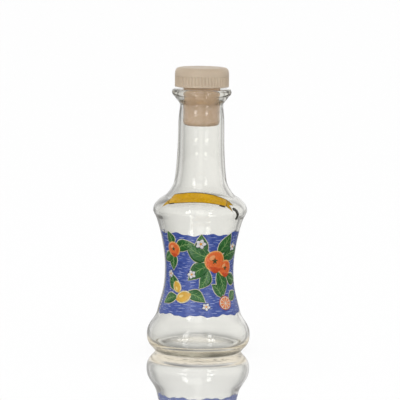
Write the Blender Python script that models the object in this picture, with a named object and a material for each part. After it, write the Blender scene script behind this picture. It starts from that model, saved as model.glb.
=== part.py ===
import math
from collections import namedtuple

import bmesh
import bpy
from mathutils import Vector
from mathutils.geometry import interpolate_bezier

# A small glass carafe with a bar-top stopper pushed into its mouth.
# Metres, +Z up. The origin is the centre of the foot, on the table.

# Foot: a flat bearing ring with a shallow push-up inside it
RING_INNER_RADIUS = 0.0186
RING_OUTER_RADIUS = 0.0210
PUSH_UP_RISE = 0.0040

# Outside of the glass, from the heel to the throat below the lip.
# Each rise is measured from the station before it.
HEEL_RADIUS = 0.0238
HEEL_RISE = 0.0024
BULGE_RADIUS = 0.02645
BULGE_RISE = 0.0065
SKIRT_RADIUS = 0.0211
SKIRT_RISE = 0.0126
WAIST_RADIUS = 0.01755
WAIST_RISE = 0.0212
HIP_RADIUS = 0.0222
HIP_RISE = 0.0261
SHOULDER_RADIUS = 0.0240
SHOULDER_RISE = 0.0041
FLARE_RADIUS = 0.0184
FLARE_RISE = 0.0074
NECK_ROOT_RADIUS = 0.0134
NECK_ROOT_RISE = 0.0073
NECK_RISE = 0.0239
THROAT_RISE = 0.0159

# Lip: a flaring collar that ends in a rounded bead with a flat top and a small round at the bore
CREASE_RADIUS = 0.0139
CREASE_RISE = 0.0042
BEAD_RADIUS = 0.0152
BEAD_RISE = 0.0021
LIP_TOP_RADIUS = 0.0142
LIP_TOP_RISE = 0.0015
MOUTH_RADIUS = 0.0103
MOUTH_ROUND = 0.0009

# Thickness of the glass, square to the outside
BULGE_WALL = 0.0019
SKIRT_WALL = 0.0018
WAIST_WALL = 0.0021
HIP_WALL = 0.0023
SHOULDER_WALL = 0.0024
FLARE_WALL = 0.0025
NECK_ROOT_WALL = 0.0026
NECK_WALL = 0.0023
THROAT_WALL = 0.0015

# Inside of the glass: a straight bore, and a floor that rises from its rim to a broad crown
BORE_RADIUS = 0.00945
FLOOR_RIM_RADIUS = 0.0202
FLOOR_RIM_HEIGHT = 0.0033
FLOOR_CROWN = 0.0049

# Stopper: a ribbed head moulded with a spigot, and a shank sleeved on the spigot
HEAD_RADIUS = 0.0138
HEAD_STAND_OFF = 0.0012
HEAD_EDGE_CHAMFER = 0.0003
BAND_BELOW_RIBS = 0.0007
RIB_LENGTH = 0.0048
BAND_ABOVE_RIBS = 0.0004
CROWN_RISE = 0.0040
CROWN_INSET = 0.0032
RIB_COUNT = 48
RIB_DEPTH = 0.0004
RIB_RUN_OUT = 0.0004
SPIGOT_RADIUS = 0.0040
SPIGOT_LENGTH = 0.0120
SPIGOT_CHAMFER = 0.0005
PLUG_LENGTH = 0.0199
PLUG_END_RADIUS = 0.0033
PLUG_TOP_CHAMFER = 0.0003

# Clearance between pieces that seat on each other
SEAT_GAP = 0.0003

# Direction of the outline at a station, in degrees: 0 outwards, 90 up, 180 inwards
HEEL_LEAN = 43
SKIRT_LEAN = 102
HIP_LEAN = 70
FLARE_LEAN = 154
NECK_ROOT_LEAN = 102
COLLAR_LEAN = 60
PUSH_UP_LEAN = 152
OUTWARDS, UP, INWARDS = 0, 90, 180

# Where the straight bore ends, as a share of the rise from the neck's root
BORE_END_SHARE = 0.62

# How far each curve runs straight on at its two ends, as shares of its chord
PUSH_UP_SHARES = (0.55, 0.15)
HEEL_SHARES = (0.35, 0.35)
BELLY_SHARES = (0.39, 0.42)
BOWL_SHARES = ((0.44, 0.39), (0.34, 0.52), (0.35, 0.24), (0.37, 0.21), (0.37, 0.37), (0.20, 0.22))
NECK_SHARES = (0.19, 0.28)
THROAT_SHARES = (0.75, 0.25)
COLLAR_SHARES = (0.12, 0.45)
CREASE_SHARES = (0.20, 0.40)
ROUND_SHARES = (0.39, 0.39)
INNER_HEEL_SHARES = (0.50, 0.50)
FLOOR_SHARES = (0.12, 0.62)

# Facets
TURN_STEPS = 48
BOWL_STEPS = (6, 4, 5, 3, 6, 3)
CURVE_STEPS = 4
SHORT_CURVE_STEPS = 3
RIB_POINTS = 3
SHARP_ANGLE = math.radians(38)
MERGE_DISTANCE = 0.000001

Station = namedtuple("Station", "radius height lean")


def shared_heights():
    """Heights of the neck's root, the throat and the lip, which more than one piece is built from."""
    foot_to_root = (
        HEEL_RISE + BULGE_RISE + SKIRT_RISE + WAIST_RISE + HIP_RISE
        + SHOULDER_RISE + FLARE_RISE + NECK_ROOT_RISE
    )
    throat = foot_to_root + NECK_RISE + THROAT_RISE
    lip = throat + CREASE_RISE + BEAD_RISE + LIP_TOP_RISE
    return foot_to_root, throat, lip


ROOT_HEIGHT, THROAT_HEIGHT, LIP_HEIGHT = shared_heights()
HEAD_SEAT_HEIGHT = LIP_HEIGHT + HEAD_STAND_OFF
PLUG_RADIUS = BORE_RADIUS - SEAT_GAP


def direction(lean):
    angle = math.radians(lean)
    return Vector((math.cos(angle), 0, math.sin(angle)))


def place(station):
    return Vector((station.radius, 0, station.height))


def curve(start, end, shares, steps):
    """Points of a smooth curve from one station to the next, without its first point."""
    first, last = place(start), place(end)
    chord = (last - first).length
    leave = first + direction(start.lean) * chord * shares[0]
    arrive = last - direction(end.lean) * chord * shares[1]
    return interpolate_bezier(first, leave, arrive, last, steps + 1)[1:]


def back(station):
    """The same station, passed the other way."""
    return Station(station.radius, station.height, station.lean + INWARDS)


def inner(station, wall):
    """The point on the inside of the glass that faces a station on the outside."""
    outward = direction(station.lean - UP)
    point = place(station) - outward * wall
    return Station(point.x, point.z, station.lean)


def bowl_stations():
    """Outside stations from the bulge to the root of the neck, each with its wall."""
    rows = (
        (BULGE_RADIUS, HEEL_RISE + BULGE_RISE, UP, BULGE_WALL),
        (SKIRT_RADIUS, SKIRT_RISE, SKIRT_LEAN, SKIRT_WALL),
        (WAIST_RADIUS, WAIST_RISE, UP, WAIST_WALL),
        (HIP_RADIUS, HIP_RISE, HIP_LEAN, HIP_WALL),
        (SHOULDER_RADIUS, SHOULDER_RISE, UP, SHOULDER_WALL),
        (FLARE_RADIUS, FLARE_RISE, FLARE_LEAN, FLARE_WALL),
        (NECK_ROOT_RADIUS, NECK_ROOT_RISE, NECK_ROOT_LEAN, NECK_ROOT_WALL),
    )
    stations, walls, height = [], [], 0
    for radius, rise, lean, wall in rows:
        height += rise
        stations.append(Station(radius, height, lean))
        walls.append(wall)
    return stations, walls


def underside():
    """From the axis under the push-up to the outer edge of the bearing ring."""
    crown = Station(0, PUSH_UP_RISE, OUTWARDS)
    ring_inner = Station(RING_INNER_RADIUS, 0, PUSH_UP_LEAN + INWARDS)
    points = [place(crown)]
    points += curve(crown, ring_inner, PUSH_UP_SHARES, CURVE_STEPS)
    points.append(Vector((RING_OUTER_RADIUS, 0, 0)))
    return points


def outside(bowl):
    """From the bearing ring up to the crease under the lip's bead."""
    ring_outer = Station(RING_OUTER_RADIUS, 0, OUTWARDS)
    heel = Station(HEEL_RADIUS, HEEL_RISE, HEEL_LEAN)
    neck = Station(BORE_RADIUS + NECK_WALL, ROOT_HEIGHT + NECK_RISE, UP)
    throat = Station(BORE_RADIUS + THROAT_WALL, THROAT_HEIGHT, UP)
    crease = Station(CREASE_RADIUS, THROAT_HEIGHT + CREASE_RISE, COLLAR_LEAN)
    points = curve(ring_outer, heel, HEEL_SHARES, SHORT_CURVE_STEPS)
    points += curve(heel, bowl[0], BELLY_SHARES, CURVE_STEPS)
    for start, end, shares, steps in zip(bowl, bowl[1:], BOWL_SHARES, BOWL_STEPS):
        points += curve(start, end, shares, steps)
    points += curve(bowl[-1], neck, NECK_SHARES, CURVE_STEPS)
    points += curve(neck, throat, THROAT_SHARES, CURVE_STEPS)
    points += curve(throat, crease, COLLAR_SHARES, CURVE_STEPS)
    return points


def lip():
    """Round the bead, over its flat top and into the bore."""
    crease_height = THROAT_HEIGHT + CREASE_RISE
    crease = Station(CREASE_RADIUS, crease_height, OUTWARDS)
    bead = Station(BEAD_RADIUS, crease_height + BEAD_RISE, UP)
    top = Station(LIP_TOP_RADIUS, LIP_HEIGHT, INWARDS)
    mouth = Station(MOUTH_RADIUS, LIP_HEIGHT, INWARDS)
    bore = Station(BORE_RADIUS, LIP_HEIGHT - MOUTH_ROUND, UP + INWARDS)
    points = curve(crease, bead, CREASE_SHARES, SHORT_CURVE_STEPS)
    points += curve(bead, top, ROUND_SHARES, SHORT_CURVE_STEPS)
    points.append(place(mouth))
    points += curve(mouth, bore, ROUND_SHARES, SHORT_CURVE_STEPS)
    return points


def inside(bowl, walls):
    """Down the bore and the inside of the bowl to the axis on its floor."""
    facing = [inner(station, wall) for station, wall in zip(bowl, walls)]
    bore_end = Station(BORE_RADIUS, ROOT_HEIGHT + NECK_RISE * BORE_END_SHARE, UP)
    points = [place(bore_end)]
    points += curve(back(bore_end), back(facing[-1]), NECK_SHARES[::-1], CURVE_STEPS)
    for end, start, shares, steps in reversed(list(zip(facing, facing[1:], BOWL_SHARES, BOWL_STEPS))):
        points += curve(back(start), back(end), shares[::-1], steps)
    rim = Station(FLOOR_RIM_RADIUS, FLOOR_RIM_HEIGHT, INWARDS)
    crown = Station(0, FLOOR_RIM_HEIGHT + FLOOR_CROWN, INWARDS)
    points += curve(back(facing[0]), rim, INNER_HEEL_SHARES, CURVE_STEPS)
    points += curve(rim, crown, FLOOR_SHARES, CURVE_STEPS)
    return points


def turned(name, outline, steps):
    """A mesh made by spinning an outline, given from axis to axis, once round +Z."""
    shape = bmesh.new()
    verts = [shape.verts.new(point) for point in outline]
    edges = [shape.edges.new(pair) for pair in zip(verts, verts[1:])]
    bmesh.ops.spin(
        shape, geom=verts + edges, cent=(0, 0, 0), axis=(0, 0, 1),
        angle=math.tau, steps=steps, use_merge=True,
    )
    bmesh.ops.remove_doubles(shape, verts=shape.verts, dist=MERGE_DISTANCE)
    bmesh.ops.recalc_face_normals(shape, faces=shape.faces)
    mesh = bpy.data.meshes.new(name)
    shape.to_mesh(mesh)
    shape.free()
    return mesh


def add_object(name, mesh, material, parent=None, height=0):
    mesh.shade_smooth()
    mesh.set_sharp_from_angle(angle=SHARP_ANGLE)
    mesh.materials.append(material)
    piece = bpy.data.objects.new(name, mesh)
    piece.location.z = height
    piece.parent = parent
    bpy.context.scene.collection.objects.link(piece)
    return piece


def make_material(name, colour, roughness, transmission=0):
    material = bpy.data.materials.new(name)
    material.use_nodes = True
    shader = material.node_tree.nodes["Principled BSDF"]
    shader.inputs["Base Color"].default_value = (*colour, 1)
    shader.inputs["Roughness"].default_value = roughness
    shader.inputs["Metallic"].default_value = 0
    shader.inputs["Transmission Weight"].default_value = transmission
    return material


def make_bottle(material):
    bowl, walls = bowl_stations()
    outline = underside() + outside(bowl) + lip() + inside(bowl, walls)
    return add_object("glass_bottle", turned("glass_bottle", outline, TURN_STEPS), material)


def head_outline():
    """From the spigot's end, up it, out along the underside, up the side and over the crown."""
    rib_start = BAND_BELOW_RIBS
    rib_end = rib_start + RIB_LENGTH
    side = Station(HEAD_RADIUS, rib_end + BAND_ABOVE_RIBS, UP)
    top = Station(HEAD_RADIUS - CROWN_INSET, side.height + CROWN_RISE, INWARDS)
    points = [
        Vector((0, 0, -SPIGOT_LENGTH)),
        Vector((SPIGOT_RADIUS - SPIGOT_CHAMFER, 0, -SPIGOT_LENGTH)),
        Vector((SPIGOT_RADIUS, 0, SPIGOT_CHAMFER - SPIGOT_LENGTH)),
        Vector((SPIGOT_RADIUS, 0, 0)),
        Vector((HEAD_RADIUS - HEAD_EDGE_CHAMFER, 0, 0)),
        Vector((HEAD_RADIUS, 0, HEAD_EDGE_CHAMFER)),
    ]
    for height in (rib_start, rib_start + RIB_RUN_OUT, rib_end - RIB_RUN_OUT, rib_end):
        points.append(Vector((HEAD_RADIUS, 0, height)))
    points.append(place(side))
    points += curve(side, top, ROUND_SHARES, CURVE_STEPS)
    points.append(Vector((0, 0, top.height)))
    return points


def cut_grooves(mesh):
    """Press a V groove between neighbouring ribs, run out at both ends."""
    low = BAND_BELOW_RIBS + RIB_RUN_OUT / 2
    high = BAND_BELOW_RIBS + RIB_LENGTH - RIB_RUN_OUT / 2
    for vertex in mesh.vertices:
        turn = math.atan2(vertex.co.y, vertex.co.x) / math.tau
        column = round(turn * RIB_COUNT * RIB_POINTS)
        if column % RIB_POINTS or not low < vertex.co.z < high:
            continue
        radius = math.hypot(vertex.co.x, vertex.co.y)
        vertex.co.x *= (radius - RIB_DEPTH) / radius
        vertex.co.y *= (radius - RIB_DEPTH) / radius


def make_head(material, parent):
    mesh = turned("stopper_head", head_outline(), RIB_COUNT * RIB_POINTS)
    cut_grooves(mesh)
    return add_object("stopper_head", mesh, material, parent)


def plug_outline():
    """From the blind hole's end, down it, out over the top, down the side and round the end."""
    hole_radius = SPIGOT_RADIUS + SEAT_GAP
    hole_end = -SPIGOT_LENGTH - SEAT_GAP
    top = -SEAT_GAP
    bottom = -PLUG_LENGTH
    side = Station(PLUG_RADIUS, bottom + PLUG_END_RADIUS, UP + INWARDS)
    end = Station(PLUG_RADIUS - PLUG_END_RADIUS, bottom, INWARDS)
    points = [
        Vector((0, 0, hole_end)),
        Vector((hole_radius, 0, hole_end)),
        Vector((hole_radius, 0, top)),
        Vector((PLUG_RADIUS - PLUG_TOP_CHAMFER, 0, top)),
        Vector((PLUG_RADIUS, 0, top - PLUG_TOP_CHAMFER)),
        place(side),
    ]
    points += curve(side, end, ROUND_SHARES, CURVE_STEPS)
    points.append(Vector((0, 0, bottom)))
    return points


def make_plug(material, parent):
    mesh = turned("stopper_plug", plug_outline(), TURN_STEPS)
    return add_object("stopper_plug", mesh, material, parent)


def main():
    for leftover in list(bpy.data.objects):
        bpy.data.objects.remove(leftover)

    glass = make_material("clear_glass", (0.94, 0.95, 0.92), 0.02, transmission=1)
    head_plastic = make_material("beige_plastic", (0.53, 0.42, 0.31), 0.42)
    plug_plastic = make_material("tan_elastomer", (0.50, 0.37, 0.26), 0.35)

    make_bottle(glass)

    # The stopper lifts straight out along this empty's Z axis
    stopper = bpy.data.objects.new("stopper_axis", None)
    stopper.location.z = HEAD_SEAT_HEIGHT
    bpy.context.scene.collection.objects.link(stopper)
    make_head(head_plastic, stopper)
    make_plug(plug_plastic, stopper)


main()
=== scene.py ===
import math
import random

import bmesh
import bpy
import numpy as np
from mathutils import Matrix, Vector, noise
from mathutils.geometry import interpolate_bezier


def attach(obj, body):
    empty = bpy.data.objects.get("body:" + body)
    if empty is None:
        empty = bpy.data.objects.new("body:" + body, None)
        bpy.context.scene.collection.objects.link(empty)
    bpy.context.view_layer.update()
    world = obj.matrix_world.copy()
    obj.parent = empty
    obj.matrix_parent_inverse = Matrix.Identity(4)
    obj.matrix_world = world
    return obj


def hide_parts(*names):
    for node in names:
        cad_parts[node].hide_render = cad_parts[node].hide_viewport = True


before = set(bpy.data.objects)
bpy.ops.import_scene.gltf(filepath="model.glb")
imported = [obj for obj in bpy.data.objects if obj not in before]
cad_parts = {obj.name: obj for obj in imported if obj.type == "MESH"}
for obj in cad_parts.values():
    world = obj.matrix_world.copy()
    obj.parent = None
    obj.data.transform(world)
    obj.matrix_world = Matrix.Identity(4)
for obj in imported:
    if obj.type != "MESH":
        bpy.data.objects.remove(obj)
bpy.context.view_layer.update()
print("frame loaded:", ", ".join(sorted(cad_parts)))

# Lengths in the dictionaries are millimetres and angles are degrees, unless a note says otherwise
mm = 0.001
sharpAngle = 38
mergeGap = 0.0002
glassIor = 1.5
noiseMiddle = (0.3, 0.7)      # nearly all of a noise lies between these


def colour(red, green, blue):
    # A colour given as 0 to 255, made linear
    return tuple((value / 255) ** 2.2 for value in (red, green, blue)) + (1,)


def addNode(tree, kind, links=None, **settings):
    # One shader node; what links holds is either a socket to join or a value to set
    node = tree.nodes.new(kind)
    for name, value in settings.items():
        setattr(node, name, value)
    for name, value in (links or {}).items():
        if isinstance(value, bpy.types.NodeSocket):
            tree.links.new(value, node.inputs[name])
        else:
            node.inputs[name].default_value = value
    return node


def startMaterial(name):
    material = bpy.data.materials.new(name)
    material.use_nodes = True
    tree = material.node_tree
    where = addNode(tree, "ShaderNodeTexCoord").outputs["Object"]
    return material, tree, tree.nodes["Principled BSDF"], where


def addNoise(tree, where, scale, detail=3.0, stretch=(1, 1, 1)):
    mapping = addNode(tree, "ShaderNodeMapping", {"Vector": where, "Scale": stretch})
    return addNode(
        tree, "ShaderNodeTexNoise", {"Vector": mapping.outputs["Vector"], "Scale": scale, "Detail": detail},
    )


def addMath(tree, operation, first, second=0.0, third=0.0):
    return addNode(tree, "ShaderNodeMath", {0: first, 1: second, 2: third}, operation=operation).outputs[0]


def spread(tree, factor, low, high):
    # Turns a noise that stays near its middle into values from low to high
    least, most = noiseMiddle
    return addNode(
        tree, "ShaderNodeMapRange",
        {"Value": factor, "From Min": least, "From Max": most, "To Min": low, "To Max": high},
    ).outputs["Result"]


def blendColours(tree, factor, first, second):
    # The colour sockets of a Mix node are its inputs 6 and 7 and its output 2
    node = addNode(tree, "ShaderNodeMix", data_type="RGBA")
    tree.links.new(factor, node.inputs["Factor"])
    for slot, value in ((6, first), (7, second)):
        if isinstance(value, bpy.types.NodeSocket):
            tree.links.new(value, node.inputs[slot])
        else:
            node.inputs[slot].default_value = value
    return node.outputs[2]


def addRamp(tree, factor, stops):
    # Grey levels by position
    ramp = addNode(tree, "ShaderNodeValToRGB", {"Fac": factor})
    elements = ramp.color_ramp.elements
    while len(elements) < len(stops):
        elements.new(0.5)
    for element, (position, level) in zip(elements, stops):
        element.position = position
        element.color = (level, level, level, 1)
    return ramp.outputs["Color"]


def addBump(tree, shader, height, strength, depth):
    bump = addNode(tree, "ShaderNodeBump", {"Height": height, "Strength": strength, "Distance": depth * mm})
    tree.links.new(bump.outputs["Normal"], shader.inputs["Normal"])


def finishPiece(name, shape, material, body):
    mesh = bpy.data.meshes.new(name)
    shape.to_mesh(mesh)
    shape.free()
    mesh.shade_smooth()
    mesh.set_sharp_from_angle(angle=math.radians(sharpAngle))
    mesh.materials.append(material)
    piece = bpy.data.objects.new(name, mesh)
    bpy.context.scene.collection.objects.link(piece)
    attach(piece, body)
    return piece


def heading(lean):
    # Direction of a profile in the XZ plane: 0 outwards, 90 up, 180 inwards
    return Vector((math.cos(math.radians(lean)), 0, math.sin(math.radians(lean))))


def leg(start, leave, end, arrive, shares, steps):
    # Points of a smooth profile curve after its start, in millimetres
    first, last = (Vector((radius, 0, height)) for radius, height in (start, end))
    chord = (last - first).length
    handleOut = first + heading(leave) * chord * shares[0]
    handleIn = last - heading(arrive) * chord * shares[1]
    points = interpolate_bezier(first, handleOut, handleIn, last, steps + 1)[1:]
    return [(point.x, point.z) for point in points]


def spinProfile(profile, steps):
    # A closed turned shape, in metres, from a profile that starts and ends on the axis
    shape = bmesh.new()
    verts = [shape.verts.new((radius * mm, 0, height * mm)) for radius, height in profile]
    edges = [shape.edges.new(pair) for pair in zip(verts, verts[1:])]
    bmesh.ops.spin(
        shape, geom=verts + edges, cent=(0, 0, 0), axis=(0, 0, 1),
        angle=math.tau, steps=steps, use_merge=True,
    )
    bmesh.ops.remove_doubles(shape, verts=shape.verts, dist=mergeGap * mm)
    bmesh.ops.recalc_face_normals(shape, faces=shape.faces)
    return shape


# The bottle: one moulding of clear glass
bottle = {
    "turnSteps": 176,
    "curveSteps": 12,
    "pushUpRise": 3.4,
    "pushUpLean": 332,
    "ringInner": 18.6,
    "ringOuter": 21.0,
    "heel": (23.8, 2.4),
    "heelLean": 43,
    # radius, height, lean, wall and handle shares towards the next row
    "bowl": (
        (26.45, 8.9, 90, 1.9, (0.44, 0.39)),
        (21.1, 21.5, 102, 1.8, (0.34, 0.52)),
        (17.55, 42.7, 90, 2.1, (0.35, 0.24)),
        (22.2, 68.8, 70, 2.3, (0.37, 0.21)),
        (24.0, 72.9, 90, 2.4, (0.37, 0.37)),
        (18.4, 80.3, 154, 2.5, (0.20, 0.22)),
        (13.4, 87.6, 102, 2.6, (0.19, 0.28)),
    ),
    "neck": (11.75, 111.5),
    "throat": (10.95, 127.4),
    "crease": (13.9, 131.6),
    "bead": (15.2, 133.7),
    "lipTop": (14.2, 135.2),
    "mouth": (10.3, 135.2),
    "mouthDrop": 0.9,
    "bore": 9.45,
    "boreEnd": 102.4,
    "floorRim": (20.6, 4.4),
    "floorCrown": 5.8,
    # handle shares of the curves between the other stations
    "shares": {
        "pushUp": (0.55, 0.15), "ring": (0.35, 0.35), "heel": (0.39, 0.42), "neck": (0.75, 0.25),
        "collar": (0.12, 0.45), "bead": (0.20, 0.40), "lip": (0.39, 0.39), "mouthEdge": (0.45, 0.45),
        "straight": (0.33, 0.33), "floorEdge": (0.30, 0.55), "floor": (0.30, 0.40),
    },
    "wavesFrom": 8,           # height where the uneven inside sets in, and how soon it fades in and out
    "waveFadeIn": 8,
    "waveFadeOut": 10,
    "waveDepth": 0.10,        # uneven inside of a moulded wall
    "waveSize": 11.0,
    "footPart": 3,            # below this height the foot is left even
    "seamHeight": 0.05,       # mould seams at the two sides
    "smudgeScale": 90,        # pattern sizes are per metre
    "smudge": 0.03,
    "rippleScale": 160,
    "reliefStrength": 0.12,
    "reliefDepth": 0.05,
    "stippleScale": 620,      # cells of the hammered floor inside
    "stippleDepth": 30.0,
    "floorMiddle": 5.1,       # height and reach of the hammered floor
    "floorBand": 1.2,
    "floorReach": 19.6,
    "tint": (0.957, 0.957, 0.935, 1),
    "bulkColour": (0.50, 0.42, 0.17, 1),
    "bulkDensity": 18.0,      # per metre
    "lastThrow": 4,           # mirrorings and bounces after which light counts as trapped in the wall
    "lastBounce": 12,
    "trappedLight": 0.10,     # level of the glow painted into the glass where light is cut off as trapped
    "baseLight": 0.62,        # and the stronger glow painted into the thick base for the light it gathers, which fades between two heights
    "baseTop": 3.5,
    "baseEnd": 8.5,
    "lipLight": 0.04,         # the painted glow left in the bead, kept low under the shade of the head
    "trappedColour": (1.0, 0.94, 0.86, 1),
}


def bottleOutside():
    steps, bowl, shares = bottle["curveSteps"], bottle["bowl"], bottle["shares"]
    heel, lean = bottle["heel"], bottle["heelLean"]
    ringInner, ringOuter = (bottle["ringInner"], 0), (bottle["ringOuter"], 0)
    points = [(0, bottle["pushUpRise"])]
    points += leg(points[0], 0, ringInner, bottle["pushUpLean"], shares["pushUp"], steps)
    points += [((ringInner[0] + ringOuter[0]) / 2, 0), ringOuter]
    points += leg(ringOuter, 0, heel, lean, shares["ring"], steps // 2)
    points += leg(heel, lean, bowl[0][:2], 90, shares["heel"], steps)
    for start, end in zip(bowl, bowl[1:]):
        points += leg(start[:2], start[2], end[:2], end[2], start[4], steps)
    root = bowl[-1]
    points += leg(root[:2], root[2], bottle["neck"], 90, root[4], steps)
    points += leg(bottle["neck"], 90, bottle["throat"], 90, shares["neck"], steps)
    points += leg(bottle["throat"], 90, bottle["crease"], 60, shares["collar"], steps)
    return points


def bottleLip():
    steps, shares = bottle["curveSteps"] // 2, bottle["shares"]
    bead, top, mouth = bottle["bead"], bottle["lipTop"], bottle["mouth"]
    bore = (bottle["bore"], top[1] - bottle["mouthDrop"])
    points = leg(bottle["crease"], 0, bead, 90, shares["bead"], steps)
    points += leg(bead, 90, top, 180, shares["lip"], steps)
    points += leg(top, 180, mouth, 180, shares["straight"], 3)
    points += leg(mouth, 180, bore, 270, shares["mouthEdge"], steps)
    points += leg(bore, 270, (bore[0], bottle["throat"][1]), 270, shares["straight"], 3)
    return points


def bottleInside():
    steps, facing = bottle["curveSteps"], []
    for radius, height, lean, wall, shares in bottle["bowl"]:
        point = Vector((radius, 0, height)) - heading(lean - 90) * wall
        facing.append(((point.x, point.z), lean, shares))
    boreEnd, rim = (bottle["bore"], bottle["boreEnd"]), bottle["floorRim"]
    points = [boreEnd]
    points += leg(boreEnd, 270, facing[-1][0], facing[-1][1] + 180, facing[-1][2][::-1], steps)
    for end, start in reversed(list(zip(facing, facing[1:]))):
        points += leg(start[0], start[1] + 180, end[0], end[1] + 180, end[2][::-1], steps)
    points += leg(facing[0][0], 270, rim, 180, bottle["shares"]["floorEdge"], steps)
    points += leg(rim, 180, (0, bottle["floorCrown"]), 180, bottle["shares"]["floor"], 2 * steps)
    return points


outsideProfile = bottleOutside()
wallProfile = outsideProfile[bottle["curveSteps"] + 2:]       # without the push-up
surfaceRadii, surfaceHeights = (np.array(column) for column in zip(*wallProfile))


def glassRadius(height):
    # Radius of the outside of the glass at a height, in millimetres
    return float(np.interp(height, surfaceHeights, surfaceRadii))


def shapeWalls(shape):
    # The inside waves a little, as in a blown and pressed bottle, and a seam runs up each side
    stepAngle = math.tau / bottle["turnSteps"]
    widest, start = bottle["bowl"][0][0], bottle["wavesFrom"]
    for vert in shape.verts:
        radius, height = math.hypot(vert.co.x, vert.co.y) / mm, vert.co.z / mm
        if radius < 1 or height < bottle["footPart"]:
            continue
        gap = glassRadius(height) - radius
        onInside, onOutside = gap > 1, gap < 0.05     # every wall is thicker than 1 mm
        if onInside and height < bottle["boreEnd"]:
            rise = min(1, (height - start) / bottle["waveFadeIn"])
            rise *= min(1, (bottle["boreEnd"] - height) / bottle["waveFadeOut"])
            wave = noise.noise(vert.co / (bottle["waveSize"] * mm)) * bottle["waveDepth"] * max(0, rise)
            scale = 1 + wave / radius
        elif onOutside and height < bottle["crease"][1]:
            turn = abs(math.atan2(vert.co.y, abs(vert.co.x)))
            seam = bottle["seamHeight"] * max(0, 1 - turn / stepAngle)
            scale = min(radius + seam, widest) / radius
        else:
            continue
        vert.co.x *= scale
        vert.co.y *= scale


def glassMaterial():
    material, tree, shader, where = startMaterial("clearGlass")
    shader.inputs["Base Color"].default_value = bottle["tint"]
    shader.inputs["Transmission Weight"].default_value = 1
    shader.inputs["IOR"].default_value = glassIor
    smudge = addNoise(tree, where, bottle["smudgeScale"], 2.0)
    tree.links.new(spread(tree, smudge.outputs["Fac"], 0.0, bottle["smudge"]), shader.inputs["Roughness"])
    ripple = addNoise(tree, where, bottle["rippleScale"], 1.0, (1, 1, 0.5))
    # The floor inside is faintly hammered, the walls only ripple
    flat = addNode(tree, "ShaderNodeVectorMath", {0: where, 1: (1, 1, 0)}, operation="MULTIPLY").outputs[0]
    reach = addNode(tree, "ShaderNodeVectorMath", {0: flat}, operation="LENGTH").outputs["Value"]
    height = addNode(tree, "ShaderNodeSeparateXYZ", {"Vector": where}).outputs["Z"]
    atFloor = addMath(tree, "COMPARE", height, bottle["floorMiddle"] * mm, bottle["floorBand"] * mm)
    inReach = addMath(tree, "LESS_THAN", reach, bottle["floorReach"] * mm)
    onFloor = addMath(tree, "MULTIPLY", atFloor, inReach)
    cells = addNode(tree, "ShaderNodeTexVoronoi", {"Vector": where, "Scale": bottle["stippleScale"]})
    hammered = addMath(tree, "MULTIPLY", cells.outputs["Distance"], bottle["stippleDepth"])
    relief = addMath(tree, "MULTIPLY_ADD", onFloor, hammered, ripple.outputs["Fac"])
    addBump(tree, shader, relief, bottle["reliefStrength"], bottle["reliefDepth"])
    # Painted light: past the last mirroring or bounce inside the wall, the glass glows at an even level in
    # place of the light that would run on there
    rays = addNode(tree, "ShaderNodeLightPath").outputs
    trapped = addMath(
        tree, "MAXIMUM", addMath(tree, "GREATER_THAN", rays["Glossy Depth"], bottle["lastThrow"] - 0.5),
        addMath(tree, "GREATER_THAN", rays["Ray Depth"], bottle["lastBounce"] - 0.5),
    )
    lipStart, lipEnd = bottle["throat"][1] * mm, bottle["crease"][1] * mm
    wallLevel = addNode(
        tree, "ShaderNodeMapRange",
        {"Value": height, "From Min": lipStart, "From Max": lipEnd,
         "To Min": bottle["trappedLight"], "To Max": bottle["lipLight"]},
    ).outputs["Result"]
    # The thick base glows brighter low down, painted light that fades out between two heights
    baseLevel = addNode(
        tree, "ShaderNodeMapRange",
        {"Value": height, "From Min": bottle["baseTop"] * mm, "From Max": bottle["baseEnd"] * mm,
         "To Min": bottle["baseLight"], "To Max": 0.0},
    ).outputs["Result"]
    level = addMath(tree, "MAXIMUM", wallLevel, baseLevel)
    tree.links.new(addMath(tree, "MULTIPLY", trapped, level), shader.inputs["Emission Strength"])
    shader.inputs["Emission Color"].default_value = bottle["trappedColour"]
    bulk = addNode(
        tree, "ShaderNodeVolumeAbsorption",
        {"Color": bottle["bulkColour"], "Density": bottle["bulkDensity"]},
    )
    tree.links.new(bulk.outputs["Volume"], tree.nodes["Material Output"].inputs["Volume"])
    return material


def makeBottle():
    shape = spinProfile(outsideProfile + bottleLip() + bottleInside(), bottle["turnSteps"])
    shapeWalls(shape)
    piece = finishPiece("carafeGlass", shape, glassMaterial(), "bottle")
    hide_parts("glass_bottle")


makeBottle()
print("bottle made")

# The stopper: a ribbed head moulded with its spigot, and a shank of synthetic cork
stopper = {
    "seat": 136.4,
    "headRadius": 13.8,
    "edgeRound": 0.3,
    "ribStart": 0.7,
    "ribEnd": 5.5,
    "sideTop": 5.9,
    "crownRise": 4.0,
    "crownInset": 3.2,
    "ribCount": 48,
    "ribPoints": 8,
    "ribDepth": 0.4,
    "ribRunOut": 0.5,
    "grooveWidth": 0.8,       # share of a rib's spacing, and how sharp its flanks are
    "grooveShape": 1.4,
    "spigotRadius": 4.0,
    "spigotLength": 12.0,
    "spigotChamfer": 0.5,
    "gateRadius": 1.1,        # shallow mark of the moulding gate on the crown
    "gateDepth": 0.12,
    "plugRadius": 9.40,
    "plugSteps": 128,
    "plugLength": 19.9,
    "plugEndRound": 3.3,
    "roundShares": (0.53, 0.53),
    "edgeShares": (0.5, 0.5),
    "seatGap": 0.3,
    "headTones": (colour(207, 188, 164), colour(196, 176, 152)),
    "plugTones": (colour(204, 176, 149), colour(188, 156, 124)),
    "headFinish": (0.42, 0.35),     # roughness and grain
    "plugFinish": (0.26, 0.25),
}

# What the two moulded plastics share; pattern sizes are per metre, the subsurface radius in metres
mouldings = {
    "ior": 1.48,
    "cloudScale": 140,
    "cloud": 0.55,
    "polishScale": 420,
    "polishSpread": (-0.06, 0.08),
    "subsurface": 0.06,
    "subsurfaceRadius": (0.002, 0.0013, 0.0008),
    "grainScale": 2600,
    "grainDepth": 0.02,
}


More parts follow.
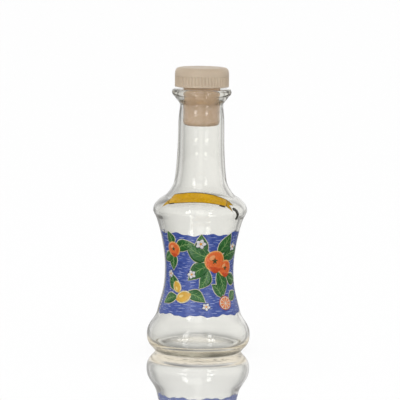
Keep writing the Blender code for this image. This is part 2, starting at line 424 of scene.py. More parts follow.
def headProfile():
    radius, edge = stopper["headRadius"], stopper["edgeRound"]
    ribStart, ribEnd, runOut = stopper["ribStart"], stopper["ribEnd"], stopper["ribRunOut"]
    spigot, length, chamfer = stopper["spigotRadius"], stopper["spigotLength"], stopper["spigotChamfer"]
    edgeShares, roundShares = stopper["edgeShares"], stopper["roundShares"]
    top = stopper["sideTop"] + stopper["crownRise"]
    crownEdge = radius - stopper["crownInset"]
    points = [(0, -length), (spigot - chamfer, -length), (spigot, chamfer - length), (spigot, -edge)]
    points += leg((spigot, -edge), 90, (spigot + edge, 0), 0, edgeShares, 3)
    points += [(radius * share - edge * share, 0) for share in (0.5, 0.75, 0.9)]
    points += [(radius - edge, 0)]
    points += leg((radius - edge, 0), 0, (radius, edge), 90, edgeShares, 4)
    points += [(radius, ribStart + runOut * share) for share in (0, 0.33, 0.67, 1)]
    middle = ribEnd - ribStart - 2 * runOut
    points += [(radius, ribStart + runOut + middle * row / 6) for row in range(1, 6)]
    points += [(radius, ribEnd - runOut * share) for share in (1, 0.67, 0.33, 0)]
    side = (radius, stopper["sideTop"])
    points += [side]
    points += leg(side, 90, (crownEdge, top), 180, roundShares, 12)
    points += [(crownEdge * share, top) for share in (0.8, 0.55, 0.3)]
    gate, depth = stopper["gateRadius"], stopper["gateDepth"]
    points += [(gate * 1.3, top), (gate, top - depth * 0.7), (gate * 0.8, top - depth), (0, top - depth)]
    return [(r, height + stopper["seat"]) for r, height in points]


def pressGrooves(shape):
    # A rounded groove between each two ribs, run out at both ends
    ribTop, ribFoot = stopper["seat"] + stopper["ribEnd"], stopper["seat"] + stopper["ribStart"]
    for vert in shape.verts:
        height = vert.co.z / mm
        radius = math.hypot(vert.co.x, vert.co.y) / mm
        if radius < stopper["headRadius"] - 0.01 or not ribFoot <= height <= ribTop:
            continue
        phase = math.atan2(vert.co.y, vert.co.x) / math.tau * stopper["ribCount"]
        across = abs(phase - round(phase)) * 2
        groove = max(0, 1 - across / stopper["grooveWidth"]) ** stopper["grooveShape"]
        fade = min(1, (ribTop - height) / stopper["ribRunOut"], (height - ribFoot) / stopper["ribRunOut"])
        scale = 1 - stopper["ribDepth"] * groove * math.sin(fade * math.pi / 2) / radius
        vert.co.x *= scale
        vert.co.y *= scale


def mouldedPlastic(name, base, shade, roughness, grain):
    material, tree, shader, where = startMaterial(name)
    cloud = addNoise(tree, where, mouldings["cloudScale"], 4.0)
    tone = spread(tree, cloud.outputs["Fac"], 0, mouldings["cloud"])
    tree.links.new(blendColours(tree, tone, base, shade), shader.inputs["Base Color"])
    polish = addNoise(tree, where, mouldings["polishScale"], 3.0)
    smoothest, dullest = (roughness + step for step in mouldings["polishSpread"])
    tree.links.new(spread(tree, polish.outputs["Fac"], smoothest, dullest), shader.inputs["Roughness"])
    shader.inputs["IOR"].default_value = mouldings["ior"]
    shader.inputs["Subsurface Weight"].default_value = mouldings["subsurface"]
    shader.inputs["Subsurface Radius"].default_value = mouldings["subsurfaceRadius"]
    fine = addNoise(tree, where, mouldings["grainScale"], 4.0)
    addBump(tree, shader, fine.outputs["Fac"], grain, mouldings["grainDepth"])
    return material


def makeStopper():
    shape = spinProfile(headProfile(), stopper["ribCount"] * stopper["ribPoints"])
    pressGrooves(shape)
    plastic = mouldedPlastic("beigePlastic", *stopper["headTones"], *stopper["headFinish"])
    head = finishPiece("stopperHead", shape, plastic, "stopper")
    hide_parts("stopper_head")

    radius, bottom, gap = stopper["plugRadius"], -stopper["plugLength"], stopper["seatGap"]
    hole, holeEnd = stopper["spigotRadius"] + gap, -stopper["spigotLength"] - gap
    end = stopper["plugEndRound"]
    points = [(0, holeEnd), (hole, holeEnd), (hole, -2 * gap), (hole + gap, -gap), (radius - 2 * gap, -gap)]
    points += leg((radius - 2 * gap, -gap), 0, (radius, -3 * gap), 270, stopper["edgeShares"], 4)
    points += [(radius, bottom / 3), (radius, bottom * 2 / 3)]
    points += [(radius, bottom + end)]
    points += leg((radius, bottom + end), 270, (radius - end, bottom), 180, stopper["roundShares"], 12)
    points += [((radius - end) / 2, bottom), (0, bottom)]
    points = [(r, height + stopper["seat"]) for r, height in points]
    cork = mouldedPlastic("tanShank", *stopper["plugTones"], *stopper["plugFinish"])
    shank = spinProfile(points, stopper["plugSteps"])
    plug = finishPiece("stopperShank", shank, cork, "stopper")
    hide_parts("stopper_plug")


makeStopper()
print("stopper made")

# The fired print: flat shapes in millimetres, arc along X and height along Y, laid on the glass
printBand = {
    "left": -75,
    "right": 85,
    "bottom": 21.2,
    "top": 62.6,
    "edgeWave": 0.55,
    # size, rate and start of the waves in both edges
    "topRipples": ((1, 0.42, 0), (0.5, 1.13, 1)),
    "bottomRipples": ((0.8, 0.5, 2), (0.5, 1.3, 0)),
    "topSpread": 0.04,
    "teeth": 30,
    "toothDepth": 4.2,        # at the left end and then the right, and how soon they die away inwards
    "toothFade": 16,
    "rightDepth": 0.8,
    "rightFade": 24,
    "layerStep": 0.016,       # each coat of enamel stands this much further out
    "coat": 0.010,
    "mergeGap": 0.004,
    "smallestEdge": 0.0005,
    "waist": 17.55,
}

# Which coat each part of the print is, counted from the glass
coats = {
    "ground": 0, "waves": 1, "leafRims": 2, "leaves": 3, "veins": 4,
    "fruitRims": 4.6, "fruit": 5.6, "fruitTones": 6.6, "fruitMarks": 7.8,
    "ribbonTails": 0, "ribbonBody": 1, "ribbonEdges": 2, "ribbonFolds": 2.6,
}

# Fired colours, each in two tones
inks = {
    "seaBlue": ((48, 68, 146), (74, 98, 174)),
    "wave": ((176, 186, 228), (128, 144, 206)),
    "cream": ((232, 226, 200), (214, 206, 170)),
    "leaf": ((24, 88, 28), (48, 108, 48)),
    "vein": ((140, 176, 106), (110, 156, 90)),
    "amber": ((236, 178, 96), (226, 152, 84)),
    "orange": ((222, 92, 26), (232, 120, 60)),
    "russet": ((196, 68, 14), (208, 84, 30)),
    "peach": ((242, 172, 112), (236, 150, 92)),
    "darkLeaf": ((30, 70, 34), (40, 88, 44)),
    "creamRim": ((236, 222, 176), (220, 202, 140)),
    "lemon": ((226, 176, 64), (206, 156, 50)),
    "paleLemon": ((242, 216, 140), (236, 204, 110)),
    "ink": ((52, 54, 70), (70, 72, 92)),
    "white": ((228, 228, 226), (206, 206, 210)),
    "yolk": ((226, 160, 52), (212, 138, 40)),
    "red": ((178, 52, 46), (160, 44, 40)),
    "rind": ((178, 58, 44), (196, 84, 48)),
    "pith": ((232, 222, 204), (220, 204, 180)),
    "flesh": ((228, 118, 60), (236, 150, 96)),
    "gold": ((226, 174, 16), (196, 146, 4)),
    "oldGold": ((202, 156, 8), (158, 122, 4)),
    "bronze": ((74, 58, 4), (96, 74, 6)),
    "umber": ((44, 32, 6), (60, 44, 8)),
    "curlGrey": ((50, 48, 38), (66, 64, 52)),
}

# What all of them share; pattern sizes are per metre
enamels = {
    "skinScale": 500,
    "skinSpread": (-0.05, 0.07),
    "skinBump": 0.15,
    "skinDepth": 0.01,
    "specular": 0.5,
}


def addPatch(sheet, columns, rows, place):
    # A grid over -1 to 1 both ways, put where place says
    made = bmesh.ops.create_grid(sheet, x_segments=columns, y_segments=rows, size=1)["verts"]
    for vert in made:
        vert.co = (*place(vert.co.x, vert.co.y), 0)


def turned(x, y, turn, centre):
    angle = math.radians(turn)
    return (
        centre[0] + x * math.cos(angle) - y * math.sin(angle),
        centre[1] + x * math.sin(angle) + y * math.cos(angle),
    )


def addDisc(sheet, centre, radius, squash=1.0, turn=0, cells=10):
    def place(u, v):
        x, y = u * math.sqrt(1 - v * v / 2), v * math.sqrt(1 - u * u / 2)
        return turned(x * radius, y * radius * squash, turn, centre)
    addPatch(sheet, cells, cells, place)


def addLeaf(sheet, foot, length, width, turn, bend=0.12, grow=0, fullness=1.0):
    # From its foot along its midrib; grow widens it all round
    def place(u, v):
        along = (u + 1) / 2
        half = (width / 2 + grow) * math.sin(math.pi * along) ** fullness * (1.15 - 0.3 * along)
        x = along * (length + 2 * grow) - grow
        y = v * half + 4 * bend * length * along * (1 - along)
        return turned(x, y, turn, foot)
    addPatch(sheet, 16, 6, place)


def addStroke(sheet, start, length, width, turn, bend=0.0, columns=8):
    def place(u, v):
        along = (u + 1) / 2
        x = along * length
        y = v * width / 2 * (1 - abs(u) ** 2.5) + 4 * bend * length * along * (1 - along)
        return turned(x, y, turn, start)
    addPatch(sheet, columns, 1, place)


def wrapSheet(sheet, layer):
    # Lays a flat sheet round the glass, as far out as its coat
    offset = printBand["layerStep"] * layer + printBand["coat"]
    bmesh.ops.remove_doubles(sheet, verts=sheet.verts, dist=printBand["mergeGap"])
    bmesh.ops.dissolve_degenerate(sheet, edges=sheet.edges, dist=printBand["smallestEdge"])
    for vert in sheet.verts:
        angle, height = vert.co.x / printBand["waist"], vert.co.y
        radius = (glassRadius(height) + offset) * mm
        vert.co = (radius * math.sin(angle), -radius * math.cos(angle), height * mm)


def finishPrint(name, sheet, place, material):
    wrapSheet(sheet, coats[place])
    piece = finishPiece(name, sheet, material, "bottle")
    coat = piece.modifiers.new("coat", "SOLIDIFY")
    coat.thickness = printBand["coat"] * mm
    coat.offset = 1


def enamel(ink, grainScale=900, stretch=(1, 1, 1), amount=0.7, roughness=0.24):
    # A fired colour: two tones of the same ink, a slight grain and a glossy skin
    base, shade = (colour(*tone) for tone in inks[ink])
    material, tree, shader, where = startMaterial(ink + "Enamel")
    tone = addNoise(tree, where, grainScale, 4.0, stretch)
    mix = spread(tree, tone.outputs["Fac"], 0, amount)
    tree.links.new(blendColours(tree, mix, base, shade), shader.inputs["Base Color"])
    skin = addNoise(tree, where, enamels["skinScale"], 2.0)
    smoothest, dullest = (roughness + step for step in enamels["skinSpread"])
    tree.links.new(spread(tree, skin.outputs["Fac"], smoothest, dullest), shader.inputs["Roughness"])
    shader.inputs["IOR"].default_value = glassIor
    shader.inputs["Specular IOR Level"].default_value = enamels["specular"]
    addBump(tree, shader, skin.outputs["Fac"], enamels["skinBump"], enamels["skinDepth"])
    return material


def edgeRipple(x, parts):
    # The waves of one edge, added up
    return sum(size * math.sin(x * rate + start) for size, rate, start in parts)


def bandPlace(u, v):
    # The blue ground, with toothed ends and wavy edges
    toothPhase = (v + 1) / 2 * printBand["teeth"]
    tooth = abs(toothPhase - round(toothPhase)) * 2
    low = math.radians(printBand["left"]) * printBand["waist"]
    high = math.radians(printBand["right"]) * printBand["waist"]
    share = (u + 1) / 2
    x = low + (high - low) * share
    x += printBand["toothDepth"] * (tooth - 0.5) * (1 - share) ** printBand["toothFade"]
    x -= printBand["rightDepth"] * (tooth - 0.5) * share ** printBand["rightFade"]
    wave = printBand["edgeWave"]
    top = printBand["top"] + wave * edgeRipple(x, printBand["topRipples"])
    top += wave * printBand["topSpread"] * abs(x)
    bottom = printBand["bottom"] + wave * edgeRipple(x, printBand["bottomRipples"])
    return x, bottom + (top - bottom) * (v + 1) / 2


# Pale strokes on the ground; pairs are the least and the most
waves = {
    "seed": 11,
    "length": (1.4, 4.2),
    "width": (0.18, 0.38),
    "gap": (0.8, 4.4),
    "firstGap": (0, 4),
    "rowGap": (0.85, 1.2),
    "lift": (-0.35, 0.35),
    "turn": (-5, 5),
    "bend": (-0.08, 0.08),
    "inset": (2, 3, 1.6, 1.5),     # from the left, right, lower and upper edge
}


def makeGround():
    sheet = bmesh.new()
    addPatch(sheet, 150, printBand["teeth"] * 4, bandPlace)
    finishPrint("printGround", sheet, "ground", enamel("seaBlue", 260, (1, 1, 5), 1.0))

    strokes, picker = bmesh.new(), random.Random(waves["seed"])

    def pick(name):
        return picker.uniform(*waves[name])

    left, right, lower, upper = waves["inset"]
    low = math.radians(printBand["left"]) * printBand["waist"] + left
    high = math.radians(printBand["right"]) * printBand["waist"] - right
    height = printBand["bottom"] + lower
    while height < printBand["top"] - upper:
        x = low + pick("firstGap")
        while x < high:
            length = pick("length")
            start = (x, height + pick("lift"))
            addStroke(strokes, start, length, pick("width"), pick("turn"), pick("bend"), 6)
            x += length + pick("gap")
        height += pick("rowGap")
    finishPrint("printWaves", strokes, "waves", enamel("wave", 700))


makeGround()
print("printed ground made")

# The printed sprigs: leaves, round fruit, lemons, blossom and one cut fruit
sprigs = {
    # foot x, foot height, length, width, turn, bend
    "leaves": (
        (7.0, 50.5, 15.5, 8.2, 152, 0.10),
        (9.0, 52.5, 12.5, 7.0, 58, -0.10),
        (11.5, 50.0, 15.0, 8.0, 8, 0.12),
        (6.5, 47.0, 14.5, 7.6, 214, -0.12),
        (9.5, 43.5, 13.0, 7.0, -74, 0.12),
        (15.5, 42.0, 11.0, 6.0, -22, -0.12),
        (3.5, 52.5, 11.0, 5.8, 104, 0.12),
        (4.5, 45.0, 11.0, 6.0, 246, 0.12),
        (-9.5, 33.5, 11.5, 5.8, 128, 0.12),
        (-7.0, 32.5, 11.0, 5.6, -24, 0.14),
        (-10.5, 30.5, 9.5, 5.2, 206, -0.12),
        (-12.6, 54.0, 11.0, 6.0, 20, 0.12),
        (-13.0, 53.0, 9.5, 5.4, 262, -0.10),
        (-15.0, 53.5, 9.0, 5.0, 216, 0.10),
        (-14.5, 56.0, 8.0, 4.6, 100, -0.10),
        (12.0, 30.0, 9.0, 4.8, 128, -0.12),
        (16.5, 28.0, 8.0, 4.4, 32, 0.10),
    ),
    # centre x, height, radius, and the turn of a lemon; their parts are shares of the radius
    "oranges": ((8.0, 49.0, 4.9), (14.6, 45.0, 3.7), (-13.6, 54.6, 3.3)),
    "lemons": ((-7.6, 30.6, 3.0, 24), (-11.6, 35.4, 2.3, 118)),
    "blossoms": (
        (0.6, 58.0, 2.6), (19.0, 55.6, 2.2), (-3.8, 42.2, 2.2), (3.4, 26.0, 1.9), (-16.6, 41.6, 2.0),
    ),
    "slices": ((13.4, 27.4, 3.6),),
    "rim": 0.34,
    "midrib": (0.92, 0.34),       # share of the leaf's length, and width
    "veins": (0.22, 0.38, 0.54, 0.7),
    "veinWidth": 0.18,
    "veinTurn": 42,
    "petals": 5,
    "wedges": 9,
}


def makeLeaves():
    rims, fills, veins = (bmesh.new() for count in range(3))
    for x, height, length, width, turn, bend in sprigs["leaves"]:
        foot = (x, height)
        addLeaf(rims, foot, length, width, turn, bend, sprigs["rim"])
        addLeaf(fills, foot, length, width, turn, bend)
        ribLength, ribWidth = sprigs["midrib"]
        addStroke(veins, turned(0.4, 0, turn, foot), length * ribLength, ribWidth, turn, bend, 12)
        for share in sprigs["veins"]:
            rib = 4 * bend * length * share * (1 - share)
            reach = width * 0.42 * math.sin(math.pi * share) + 0.4
            slope = math.degrees(math.atan(4 * bend * (1 - 2 * share)))
            for side in (-1, 1):
                start = turned(length * share, rib, turn, foot)
                heads = turn + slope + side * sprigs["veinTurn"]
                addStroke(veins, start, reach, sprigs["veinWidth"], heads, -side * 0.08, 4)
    finishPrint("printLeafRims", rims, "leafRims", enamel("cream"))
    finishPrint("printLeaves", fills, "leaves", enamel("leaf", 220, (1, 1, 1), 1.0))
    finishPrint("printLeafVeins", veins, "veins", enamel("vein"))


def makeFruit():
    rims, fills, shades, lights, eyes = (bmesh.new() for count in range(5))
    for x, height, radius in sprigs["oranges"]:
        centre, cells = (x, height), 14
        addDisc(rims, centre, radius + 0.75 * sprigs["rim"] + 0.3, cells=cells)
        addDisc(fills, centre, radius, cells=cells)
        shadeFoot = turned(-radius * 0.62, -radius * 0.62, 0, centre)
        addLeaf(shades, shadeFoot, radius * 1.5, radius * 0.62, -8, -0.16)
        addDisc(lights, (x - radius * 0.30, height + radius * 0.36), radius * 0.34, 0.62, 38)
        for petal in range(sprigs["petals"]):
            turn = petal * 360 / sprigs["petals"] + 18
            addLeaf(eyes, centre, radius * 0.34, radius * 0.15, turn, 0, 0, 0.8)
    finishPrint("printOrangeRims", rims, "fruitRims", enamel("amber", 500))
    finishPrint("printOranges", fills, "fruit", enamel("orange", 420, (1, 1, 1), 0.9))
    finishPrint("printOrangeShades", shades, "fruitTones", enamel("russet"))
    finishPrint("printOrangeLights", lights, "fruitTones", enamel("peach"))
    finishPrint("printOrangeEyes", eyes, "fruitMarks", enamel("darkLeaf"))


def makeLemons():
    rims, fills, lights = (bmesh.new() for count in range(3))
    for x, height, radius, turn in sprigs["lemons"]:
        centre = (x, height)
        addDisc(rims, centre, radius * 1.18 + sprigs["rim"], 0.78, turn)
        addDisc(fills, centre, radius * 1.12, 0.72, turn)
        for side in (0, 180):
            addDisc(fills, turned(radius * 1.12, 0, turn + side, centre), radius * 0.24, 1, 0, 6)
        addDisc(lights, turned(-radius * 0.3, radius * 0.26, turn, centre), radius * 0.42, 0.5, turn)
    finishPrint("printLemonRims", rims, "fruitRims", enamel("creamRim"))
    finishPrint("printLemons", fills, "fruit", enamel("lemon", 420))
    finishPrint("printLemonLights", lights, "fruitMarks", enamel("paleLemon"))


def makeBlossom():
    outlines, petals, hearts, dots = (bmesh.new() for count in range(4))
    for count, (x, height, radius) in enumerate(sprigs["blossoms"]):
        centre = (x, height)
        for petal in range(sprigs["petals"]):
            turn = petal * 360 / sprigs["petals"] + 20 * count
            addLeaf(outlines, centre, radius + 0.15, radius * 0.78 + 0.2, turn, 0, 0.08, 0.6)
            addLeaf(petals, centre, radius, radius * 0.72, turn, 0, 0, 0.6)
            addDisc(dots, turned(radius * 0.42, 0, turn + 36, centre), 0.16, 1, 0, 2)
        addDisc(hearts, centre, radius * 0.26, 1, 0, 6)
    finishPrint("printBlossomEdges", outlines, "fruitRims", enamel("ink"))
    finishPrint("printBlossom", petals, "fruit", enamel("white", 600))
    finishPrint("printBlossomHearts", hearts, "fruitTones", enamel("yolk"))
    finishPrint("printBlossomDots", dots, "fruitTones", enamel("red"))


def makeSlices():
    rind, pith, flesh = (bmesh.new() for count in range(3))
    for x, height, radius in sprigs["slices"]:
        addDisc(rind, (x, height), radius, cells=12)
        addDisc(pith, (x, height), radius * 0.88, cells=12)
        for wedge in range(sprigs["wedges"]):
            def place(u, v):
                share = (u + 1) / 2
                reach = radius * (0.10 + 0.68 * share)
                half = math.radians(20 - 4.2 / (0.35 + share)) * (1 - 0.12 * abs(u) ** 6)
                angle = math.radians(wedge * 360 / sprigs["wedges"]) + v * half
                return x + reach * math.cos(angle), height + reach * math.sin(angle)
            addPatch(flesh, 6, 4, place)
    finishPrint("printRind", rind, "fruit", enamel("rind"))
    finishPrint("printPith", pith, "fruitTones", enamel("pith"))
    finishPrint("printFlesh", flesh, "fruitMarks", enamel("flesh", 800))


makeLeaves()
makeFruit()
makeLemons()
makeBlossom()
makeSlices()
print("printed sprigs made")

# The gold ribbon printed on the shoulder; its places are angle from the front and height
ribbon = {
    "topEdge": ((-52, 82.2), (-20, 83.6), (4, 83.4), (25, 82.6), (45.4, 80.2)),
    "bottomEdge": ((-45.7, 78.0), (-24, 79.0), (-8, 79.2), (15, 78.9), (35.4, 77.3)),
    "leftBulge": 4.0,
    "edge": 0.26,
    "leftTail": ((-53.3, 79.9), (-45.7, 78.0), (-55.8, 76.0)),
    "upperTip": (48.5, 77.4),
    "notch": (41.5, 77.7),
    "lowerTip": (43.7, 74.6),
    "leftFold": ((-46.0, 77.8), (-37.2, 78.4), 0.55),       # start, end and width
    "rightFold": ((26.0, 77.9), (34.4, 77.0), 0.65),
    # A dark stroke that curls down from the tail's lower tip
    "curl": ((44.4, 75.7), (49.2, 75.2), (52.3, 73.4), (53.0, 71.6), (52.6, 70.0)),
    "curlWidth": 1.5,
}


def ribbonArc(angle):
    return math.radians(angle) * printBand["waist"]


def between(start, end, share):
    return tuple(low + (high - low) * share for low, high in zip(start, end))


def ribbonEdge(stations):
    angles, heights = zip(*stations)
    curve = np.polyfit(angles, heights, 3)

    def edge(share):
        angle = angles[0] + (angles[-1] - angles[0]) * share
        return angle, float(np.polyval(curve, angle))
    return edge


topEdge, bottomEdge = ribbonEdge(ribbon["topEdge"]), ribbonEdge(ribbon["bottomEdge"])


def acrossRibbon(along, across):
    angle, height = between(bottomEdge(along), topEdge(along), across)
    return angle - ribbon["leftBulge"] * 4 * across * (1 - across) * max(0, 1 - 4 * along), height


def addLine(sheet, route, width, columns=24):
    # A thin printed line along a route of angle and height
    def place(u, v):
        angle, height = route((u + 1) / 2)
        ahead, rise = route(min(1, (u + 1) / 2 + 0.01))
        behind, drop = route(max(0, (u + 1) / 2 - 0.01))
        run = Vector((ribbonArc(ahead - behind), rise - drop)).normalized()
        half = v * width / 2 * min(1, 6 * (1 - abs(u)) + 0.3)
        return ribbonArc(angle) - run.y * half, height + run.x * half
    addPatch(sheet, columns, 2, place)


def makeRibbon():
    body, edges, tails, folds = (bmesh.new() for count in range(4))

    def bodyPlace(u, v):
        angle, height = acrossRibbon((u + 1) / 2, (v + 1) / 2)
        return ribbonArc(angle), height

    def leftTail(u, v):
        share = (u + 1) / 2
        upper, lower, tip = ribbon["leftTail"]
        foot = between(lower, upper, (v + 1) / 2)
        angle, height = between(foot, tip, share ** 0.8)
        return ribbonArc(angle), height + 0.5 * share * (1 - share)

    def rightTail(u, v):
        # Forked, with the notch between its two tips
        foot = between(bottomEdge(1), topEdge(1), (v + 1) / 2)
        corner = ribbon["upperTip"] if v > 0 else ribbon["lowerTip"]
        tip = between(ribbon["notch"], corner, abs(v))
        angle, height = between(foot, tip, (u + 1) / 2)
        return ribbonArc(angle), height

    addPatch(body, 60, 10, bodyPlace)
    addPatch(tails, 12, 6, leftTail)
    addPatch(tails, 12, 8, rightTail)
    addLine(edges, topEdge, ribbon["edge"], 60)
    addLine(edges, bottomEdge, ribbon["edge"] * 0.8, 60)
    thin = ribbon["edge"] * 0.7
    addLine(edges, lambda share: acrossRibbon(0, share), thin)
    addLine(edges, lambda share: acrossRibbon(1, share), thin)
    addLine(edges, lambda share: between(topEdge(1), ribbon["upperTip"], share), thin)
    addLine(edges, lambda share: between(ribbon["notch"], ribbon["lowerTip"], share), thin)
    for start, end, width in (ribbon["leftFold"], ribbon["rightFold"]):
        addLine(folds, lambda share: between(start, end, share), width, 8)
    curlAngles, curlHeights = zip(*ribbon["curl"])
    steps = np.linspace(0, 1, len(ribbon["curl"]))
    bend, drop = np.polyfit(steps, curlAngles, 3), np.polyfit(steps, curlHeights, 3)

    def curlRoute(share):
        return float(np.polyval(bend, share)), float(np.polyval(drop, share))

    curl = bmesh.new()
    addLine(curl, curlRoute, ribbon["curlWidth"])
    finishPrint("ribbonTails", tails, "ribbonTails", enamel("oldGold", 400))
    finishPrint("ribbonBody", body, "ribbonBody", enamel("gold", 260, (1, 1, 2), 0.8, 0.28))
    finishPrint("ribbonEdges", edges, "ribbonEdges", enamel("bronze"))
    finishPrint("ribbonFolds", folds, "ribbonFolds", enamel("umber"))
    finishPrint("ribbonCurl", curl, "ribbonFolds", enamel("curlGrey"))


makeRibbon()
print("printed ribbon made")

# The studio: a pale polished floor, a white room, softboxes that only gloss shows, and a key light
studio = {
    "floorSize": 30.0,        # sizes and distances of the studio are metres
    "floorGap": 0.00004,
    "floorWhite": (0.9, 0.9, 0.9, 1),
    "mirror": 0.86,           # how much the floor mirrors, and for the camera against how steeply it is seen
    "mirrorFacing": ((0.00, 0.04), (0.20, 0.06), (0.50, 0.30), (0.66, 0.58), (0.80, 0.86), (1.00, 0.86)),
    "floorRoughness": 0.02,
    "floorLift": 0.03,
    "dome": 0.80,             # level of the room for matt surfaces
    # What the glass shows of the room: level against the share of a half turn of azimuth
    "behind": (
        (0.00, 0.97), (0.044, 1.0), (0.25, 1.0), (0.333, 0.95), (0.50, 0.90), (0.667, 0.80),
        (0.733, 0.58), (0.761, 0.56), (0.883, 0.58), (0.911, 0.70), (0.933, 0.76), (0.956, 0.84),
        (0.978, 0.92), (1.00, 0.97),
    ),
    # Light that stayed inside one wall
    "inWall": (
        (0.00, 1.0), (0.078, 1.0), (0.117, 0.93), (0.156, 0.66), (0.183, 0.48), (0.211, 0.60), (0.25, 0.85),
        (0.333, 0.92), (0.50, 0.90), (0.667, 0.80), (0.739, 0.74), (0.817, 0.74), (0.85, 0.52), (0.883, 0.34),
        (0.917, 0.36), (0.956, 0.60), (0.989, 0.92), (1.00, 1.0),
    ),
    # Light thrown three times or more inside the glass
    "deep": (
        (0.00, 0.50), (0.045, 0.60), (0.075, 0.95), (0.40, 0.90), (0.50, 0.60), (0.60, 0.35), (0.97, 0.35),
        (1.00, 0.50),
    ),
    # Dark cards that the outside of the glass mirrors
    "cards": ((0.00, 0.45), (0.10, 0.45), (0.20, 0.20), (0.80, 0.20), (0.90, 0.45), (1.00, 0.45)),
    # Light that crossed both walls and was thrown in one of them
    "thrown": (
        (0.00, 1.0), (0.05, 1.0), (0.09, 0.45), (0.16, 0.30), (0.30, 0.30), (0.60, 0.35), (0.84, 0.30),
        (0.92, 0.40), (0.96, 1.0), (1.00, 1.0),
    ),
    # and against elevation, as a share from straight down to straight up
    "behindRise": (
        (0.00, 0.40), (0.20, 0.35), (0.27, 0.45), (0.34, 0.68), (0.41, 0.94), (0.45, 1.0), (0.55, 1.0),
        (0.60, 0.78), (0.67, 0.55), (0.80, 0.55), (1.00, 0.60),
    ),
    "wallRise": (
        (0.00, 0.60), (0.17, 0.60), (0.23, 0.50), (0.29, 0.30), (0.34, 0.40), (0.39, 0.72), (0.45, 1.0),
        (0.55, 1.0), (0.61, 0.76), (0.69, 0.55), (0.83, 0.60), (1.00, 0.70),
    ),
    "deepRise": (
        (0.00, 0.30), (0.40, 0.60), (0.47, 1.0), (0.55, 1.0), (0.59, 0.30), (0.80, 0.25), (1.00, 0.30),
    ),
    "cardRise": ((0.00, 1.0), (0.36, 1.0), (0.42, 0.0), (0.68, 0.0), (0.74, 1.0), (1.00, 1.0)),
    "throughGlass": 1.3,      # makes up to the shank for the light that the glass holds back
    # azimuth from the camera's side, distance, width, height, height of its middle, brightness
    "softboxes": (
        # for the lower body, high above the horizon
        (-30, 0.95, 0.09, 0.34, 0.80, 1.5), (-30, 0.95, 0.22, 0.42, 0.42, 3.2),
        (27, 0.95, 0.15, 0.36, 0.39, 3.6),
        # for the shank in the neck, between what the neck below it and above it would mirror
        (-28, 0.95, 0.28, 0.030, 0.055, 1.4), (-28, 0.95, 0.14, 0.030, 0.055, 1.2),
        (28, 0.95, 0.28, 0.030, 0.055, 1.8), (28, 0.95, 0.14, 0.030, 0.055, 1.6),
        # for the waist, close to the floor
        (-34, 0.50, 0.20, 0.028, 0.014, 4.6), (-34, 0.50, 0.10, 0.028, 0.014, 4.0),
        (29, 0.50, 0.14, 0.028, 0.014, 5.2), (29, 0.50, 0.07, 0.028, 0.014, 5.8),
    ),
    "key": (-10, 1.6, 1.2, 1.2, 1.1, 0.95),
    "aimHeight": 0.08,
}


def makeFloor():
    shape = bmesh.new()
    bmesh.ops.create_grid(shape, x_segments=8, y_segments=8, size=studio["floorSize"] / 2)
    mesh = bpy.data.meshes.new("studioFloor")
    shape.to_mesh(mesh)
    shape.free()
    floor = bpy.data.objects.new("studioFloor", mesh)
    bpy.context.scene.collection.objects.link(floor)
    for vert in mesh.vertices:
        vert.co.z = -studio["floorGap"]
    floor.visible_transmission = False
    material = bpy.data.materials.new("studioFloor")
    material.use_nodes = True
    tree = material.node_tree
    tree.nodes.clear()
    white = addNode(tree, "ShaderNodeBsdfDiffuse", {"Color": studio["floorWhite"]})
    mirror = addNode(
        tree, "ShaderNodeBsdfGlossy", {"Color": (1, 1, 1, 1), "Roughness": studio["floorRoughness"]},
    )
    rays = addNode(tree, "ShaderNodeLightPath").outputs
    # A polished floor mirrors what is seen at a low angle, and looks white from above
    facing = addNode(tree, "ShaderNodeLayerWeight").outputs["Facing"]
    byAngle = addRamp(tree, facing, studio["mirrorFacing"])
    polish = blendColours(tree, rays["Is Camera Ray"], (studio["mirror"],) * 3 + (1,), byAngle)
    mixed = addNode(tree, "ShaderNodeMixShader", {0: polish, 1: white.outputs[0], 2: mirror.outputs[0]})
    lift = addMath(tree, "MULTIPLY", rays["Is Camera Ray"], studio["floorLift"])
    glow = addNode(tree, "ShaderNodeEmission", {"Strength": lift})
    total = addNode(tree, "ShaderNodeAddShader", {0: mixed.outputs[0], 1: glow.outputs[0]})
    output = addNode(tree, "ShaderNodeOutputMaterial")
    tree.links.new(total.outputs[0], output.inputs["Surface"])
    mesh.materials.append(material)


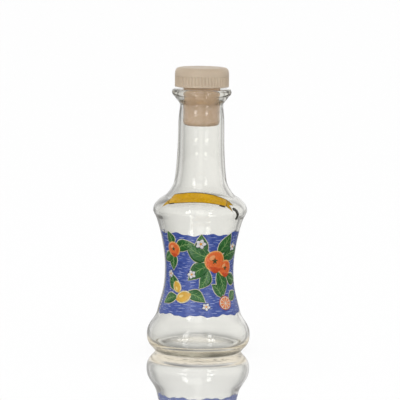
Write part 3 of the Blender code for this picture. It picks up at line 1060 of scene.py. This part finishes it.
def makeWorld():
    world = bpy.data.worlds.new("studioDome")
    bpy.context.scene.world = world
    world.use_nodes = True
    tree = world.node_tree
    tree.nodes.clear()
    white = (1, 1, 1, 1)
    where = addNode(tree, "ShaderNodeTexCoord").outputs["Generated"]
    axes = addNode(tree, "ShaderNodeSeparateXYZ", {"Vector": where}).outputs
    azimuth = addMath(tree, "ARCTAN2", axes["X"], axes["Y"])
    share = addMath(tree, "FRACT", addMath(tree, "MULTIPLY_ADD", azimuth, 2 / math.tau, 2.0))
    rise = addMath(tree, "MULTIPLY_ADD", addMath(tree, "ARCSINE", axes["Z"]), 1 / math.pi, 0.5)
    rays = addNode(tree, "ShaderNodeLightPath").outputs
    # Light that ran inside one wall and was thrown back there shows another side of the room
    inWall = addMath(
        tree, "MULTIPLY", addRamp(tree, share, studio["inWall"]), addRamp(tree, rise, studio["wallRise"]),
    )
    oneWall = addMath(tree, "LESS_THAN", rays["Transmission Depth"], 2.5)
    thrown = addMath(tree, "GREATER_THAN", rays["Glossy Depth"], 0.5)
    within = addMath(tree, "MULTIPLY", oneWall, thrown)
    crossed = addMath(
        tree, "MULTIPLY", addRamp(tree, share, studio["behind"]), addRamp(tree, rise, studio["behindRise"]),
    )
    bothWalls = addMath(tree, "SUBTRACT", thrown, within)
    thrownBack = blendColours(tree, bothWalls, white, addRamp(tree, share, studio["thrown"]))
    crossed = addMath(tree, "MULTIPLY", crossed, thrownBack)
    throughGlass = blendColours(tree, within, crossed, inWall)
    deep = addMath(
        tree, "MULTIPLY", addRamp(tree, share, studio["deep"]), addRamp(tree, rise, studio["deepRise"]),
    )
    throughGlass = blendColours(
        tree, addMath(tree, "GREATER_THAN", rays["Glossy Depth"], 2.5), throughGlass, deep,
    )
    afterMatt = addMath(tree, "GREATER_THAN", rays["Diffuse Depth"], 0.5)
    gain = (studio["throughGlass"],) * 3 + (1,)
    throughGlass = blendColours(tree, afterMatt, throughGlass, gain)
    # Mirrored light shows the white room near the horizon and dark cards above and below it,
    # and only the cards once it has been mirrored twice
    twice = addMath(tree, "GREATER_THAN", rays["Glossy Depth"], 1.5)
    cardShare = addMath(tree, "MAXIMUM", twice, addRamp(tree, rise, studio["cardRise"]))
    mirrored = blendColours(tree, cardShare, white, addRamp(tree, share, studio["cards"]))
    seenThrough = addMath(tree, "GREATER_THAN", rays["Transmission Depth"], 0.5)
    shown = blendColours(tree, seenThrough, mirrored, throughGlass)
    reflected = addMath(tree, "MAXIMUM", rays["Is Glossy Ray"], rays["Is Transmission Ray"])
    dome = (studio["dome"], studio["dome"], studio["dome"], 1)
    lit = blendColours(tree, reflected, dome, shown)
    seen = blendColours(tree, rays["Is Camera Ray"], lit, white)
    background = addNode(tree, "ShaderNodeBackground", {"Color": seen})
    output = addNode(tree, "ShaderNodeOutputWorld")
    tree.links.new(background.outputs[0], output.inputs["Surface"])


def addSoftbox(name, settings, onlyGloss):
    azimuth, distance, width, height, lift, brightness = settings
    data = bpy.data.lights.new(name, "AREA")
    data.shape = "RECTANGLE"
    data.size, data.size_y = width, height
    data.energy = brightness * math.pi * width * height
    box = bpy.data.objects.new(name, data)
    bpy.context.scene.collection.objects.link(box)
    angle = math.radians(azimuth)
    box.location = (distance * math.sin(angle), -distance * math.cos(angle), lift)
    aim = Vector((0, 0, studio["aimHeight"])) - box.location
    box.rotation_euler = aim.to_track_quat("-Z", "Y").to_euler()
    box.visible_camera = False
    box.visible_diffuse = not onlyGloss


def makeLights():
    for count, settings in enumerate(studio["softboxes"]):
        addSoftbox(f"softbox{count}", settings, True)
    addSoftbox("keyLight", studio["key"], False)


view = {
    "place": (-0.0001, -1.290, 0.22774),      # metres
    "pitch": 6.61,
    "roll": 0.83,
    "lens": 228.3,
    "sensor": 36,
    "farClip": 100,           # metres
}


def makeCamera():
    data = bpy.data.cameras.new("camera")
    data.lens = view["lens"]
    data.sensor_width = view["sensor"]
    data.clip_end = view["farClip"]
    camera = bpy.data.objects.new("camera", data)
    bpy.context.scene.collection.objects.link(camera)
    tilt = Matrix.Rotation(math.radians(90 - view["pitch"]), 4, "X")
    roll = Matrix.Rotation(math.radians(view["roll"]), 4, "Z")
    camera.matrix_world = Matrix.Translation(view["place"]) @ tilt @ roll
    bpy.context.scene.camera = camera


makeFloor()
makeWorld()
makeLights()
makeCamera()
bpy.context.scene.view_settings.view_transform = "Standard"
print("studio made")
